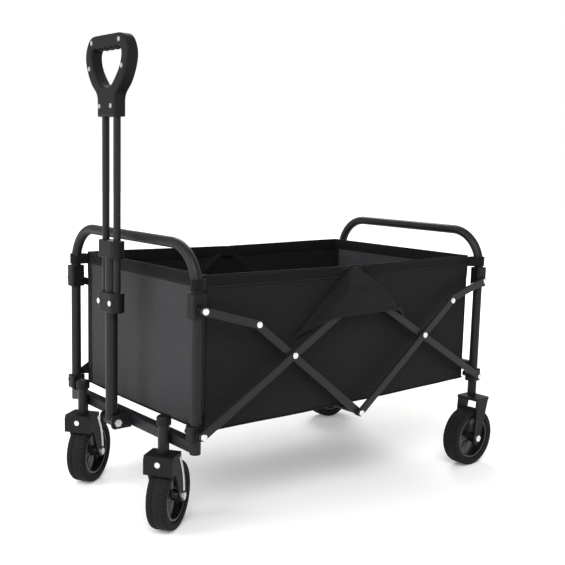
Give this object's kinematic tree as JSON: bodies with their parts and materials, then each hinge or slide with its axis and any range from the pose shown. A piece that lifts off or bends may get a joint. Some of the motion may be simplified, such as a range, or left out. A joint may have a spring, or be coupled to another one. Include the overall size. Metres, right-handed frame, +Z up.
{
  "type": "folding camp wagon",
  "caption": "Folding camp wagon: scissor-link steel frame, fabric basket, swivelling front wheels and a telescoping tip-forward pull handle.",
  "frame": {"origin": "on the ground, under the middle of the whole object's box", "axes": "+X towards the back of the wagon, the handle is at -X; +Y to the right-hand side seen from behind; +Z up"},
  "size_m": [0.8377, 0.514, 0.86],
  "materials": {
    "frame_steel": "black powder coat",
    "moulded_black": "moulded, fine grain",
    "rivet_steel": "bright zinc",
    "tyre_rubber": "moulded tread",
    "basket_cloth": "coated woven polyester"
  },
  "bodies": {
    "front_frame": {"front_hoop": "frame_steel", "front_bar": "frame_steel", "front_corner_fittings": "moulded_black", "front_pivot_fittings": "moulded_black", "front_post_rivets": "rivet_steel", "caster_sleeves": "frame_steel", "caster_caps": "moulded_black", "handle_bracket": "frame_steel", "handle_bolt": "rivet_steel", "basket_front": "basket_cloth", "basket_side_left": "basket_cloth", "basket_side_right": "basket_cloth", "basket_floor": "basket_cloth"},
    "handle": {"handle_centre_tube": "frame_steel", "handle_barrel": "frame_steel", "handle_guide": "moulded_black"},
    "handle_top": {"handle_slider": "moulded_black", "slider_rivets": "rivet_steel", "handle_rods": "frame_steel", "grip_front": "moulded_black", "grip_back": "moulded_black", "grip_screws": "rivet_steel"},
    "caster_left": {"caster_stem_left": "frame_steel", "front_fork_left": "moulded_black", "front_fork_bolts_left": "rivet_steel"},
    "caster_right": {"caster_stem_right": "frame_steel", "front_fork_right": "moulded_black", "front_fork_bolts_right": "rivet_steel"},
    "front_wheel_left": {"front_tyre_left": "tyre_rubber", "front_hub_left": "moulded_black"},
    "front_wheel_right": {"front_tyre_right": "tyre_rubber", "front_hub_right": "moulded_black"},
    "rear_frame": {"rear_hoop": "frame_steel", "rear_bar": "frame_steel", "rear_corner_fittings": "moulded_black", "rear_pivot_fittings": "moulded_black", "rear_post_rivets": "rivet_steel", "rear_fork_left": "moulded_black", "rear_fork_right": "moulded_black", "rear_axle_bolts": "rivet_steel", "basket_rear": "basket_cloth"},
    "rear_wheel_left": {"rear_tyre_left": "tyre_rubber", "rear_hub_left": "moulded_black"},
    "rear_wheel_right": {"rear_tyre_right": "tyre_rubber", "rear_hub_right": "moulded_black"},
    "front_long_arms": {"front_long_link_left": "frame_steel", "front_long_link_right": "frame_steel", "front_link_rivets": "rivet_steel"},
    "rear_long_arms": {"rear_long_link_left": "frame_steel", "rear_long_link_right": "frame_steel", "rear_link_rivets": "rivet_steel"},
    "front_cross_arms": {"front_cross_link_left": "frame_steel", "front_cross_link_right": "frame_steel", "bottom_centre_rod": "frame_steel"},
    "rear_cross_arms": {"rear_cross_link_left": "frame_steel", "rear_cross_link_right": "frame_steel", "rear_cross_link_rivets": "rivet_steel"},
    "front_short_arms": {"front_short_links": "frame_steel", "front_short_link_rivets": "rivet_steel"},
    "rear_short_arms": {"rear_short_links": "frame_steel"}
  },
  "joints": [
    {"name": "fold", "type": "hinge", "parent": "front_frame", "child": "front_long_arms", "pos_m": [-0.3599, 0, 0.1933], "axis": [0, -1, 0], "range_deg": [0, 50], "deforming": ["basket_side_left", "basket_side_right", "basket_floor"]},
    {"name": "arch_pivot", "type": "hinge", "parent": "front_long_arms", "child": "rear_long_arms", "pos_m": [0.0086, 0, 0.4106], "axis": [0, -1, 0], "range_deg": [-100.02, 0.02]},
    {"name": "rear_foot_pivot", "type": "hinge", "parent": "rear_long_arms", "child": "rear_frame", "pos_m": [0.3771, 0, 0.1933], "axis": [0, -1, 0], "range_deg": [-0.02, 50.02]},
    {"name": "front_crossing_pivot", "type": "hinge", "parent": "front_long_arms", "child": "front_cross_arms", "pos_m": [-0.1648, 0, 0.30835], "axis": [0, -1, 0], "range_deg": [-93.58, 0.02]},
    {"name": "rear_crossing_pivot", "type": "hinge", "parent": "rear_long_arms", "child": "rear_cross_arms", "pos_m": [0.182, 0, 0.30835], "axis": [0, -1, 0], "range_deg": [-0.02, 93.58]},
    {"name": "front_short_pivot", "type": "hinge", "parent": "front_frame", "child": "front_short_arms", "pos_m": [-0.3599, 0, 0.405], "axis": [0, -1, 0], "range_deg": [-0.02, 95.63]},
    {"name": "rear_short_pivot", "type": "hinge", "parent": "rear_frame", "child": "rear_short_arms", "pos_m": [0.3771, 0, 0.405], "axis": [0, -1, 0], "range_deg": [-95.63, 0.02]},
    {"name": "handle_tip", "type": "hinge", "parent": "front_frame", "child": "handle", "pos_m": [-0.3989, 0, 0.171], "axis": [0, -1, 0], "range_deg": [0, 95]},
    {"name": "handle_slide", "type": "slide", "parent": "handle", "child": "handle_top", "axis": [0, 0, -1], "range_m": [0, 0.185]},
    {"name": "caster_swivel_left", "type": "hinge", "parent": "front_frame", "child": "caster_left", "pos_m": [-0.3799, -0.148, 0.17], "axis": [0, 0, 1], "continuous": true},
    {"name": "front_wheel_spin_left", "type": "hinge", "parent": "caster_left", "child": "front_wheel_left", "pos_m": [-0.36024, -0.13423, 0.0625], "axis": [-0.5736, 0.8192, 0], "continuous": true},
    {"name": "rear_wheel_spin_left", "type": "hinge", "parent": "rear_frame", "child": "rear_wheel_left", "pos_m": [0.3556, -0.226, 0.0625], "axis": [0, 1, 0], "continuous": true},
    {"name": "caster_swivel_right", "type": "hinge", "parent": "front_frame", "child": "caster_right", "pos_m": [-0.3799, 0.148, 0.17], "axis": [0, 0, 1], "continuous": true},
    {"name": "front_wheel_spin_right", "type": "hinge", "parent": "caster_right", "child": "front_wheel_right", "pos_m": [-0.36024, 0.16177, 0.0625], "axis": [-0.5736, 0.8192, 0], "continuous": true},
    {"name": "rear_wheel_spin_right", "type": "hinge", "parent": "rear_frame", "child": "rear_wheel_right", "pos_m": [0.3556, 0.226, 0.0625], "axis": [0, 1, 0], "continuous": true}
  ],
  "couplings": [
    {"joint": "arch_pivot", "follows": "fold", "ratio": -2},
    {"joint": "rear_foot_pivot", "follows": "fold", "ratio": 1},
    {"joint": "front_crossing_pivot", "follows": "fold", "ratio": -1.8712},
    {"joint": "rear_crossing_pivot", "follows": "fold", "ratio": 1.8712},
    {"joint": "front_short_pivot", "follows": "fold", "ratio": 1.9123},
    {"joint": "rear_short_pivot", "follows": "fold", "ratio": -1.9123}
  ]
}
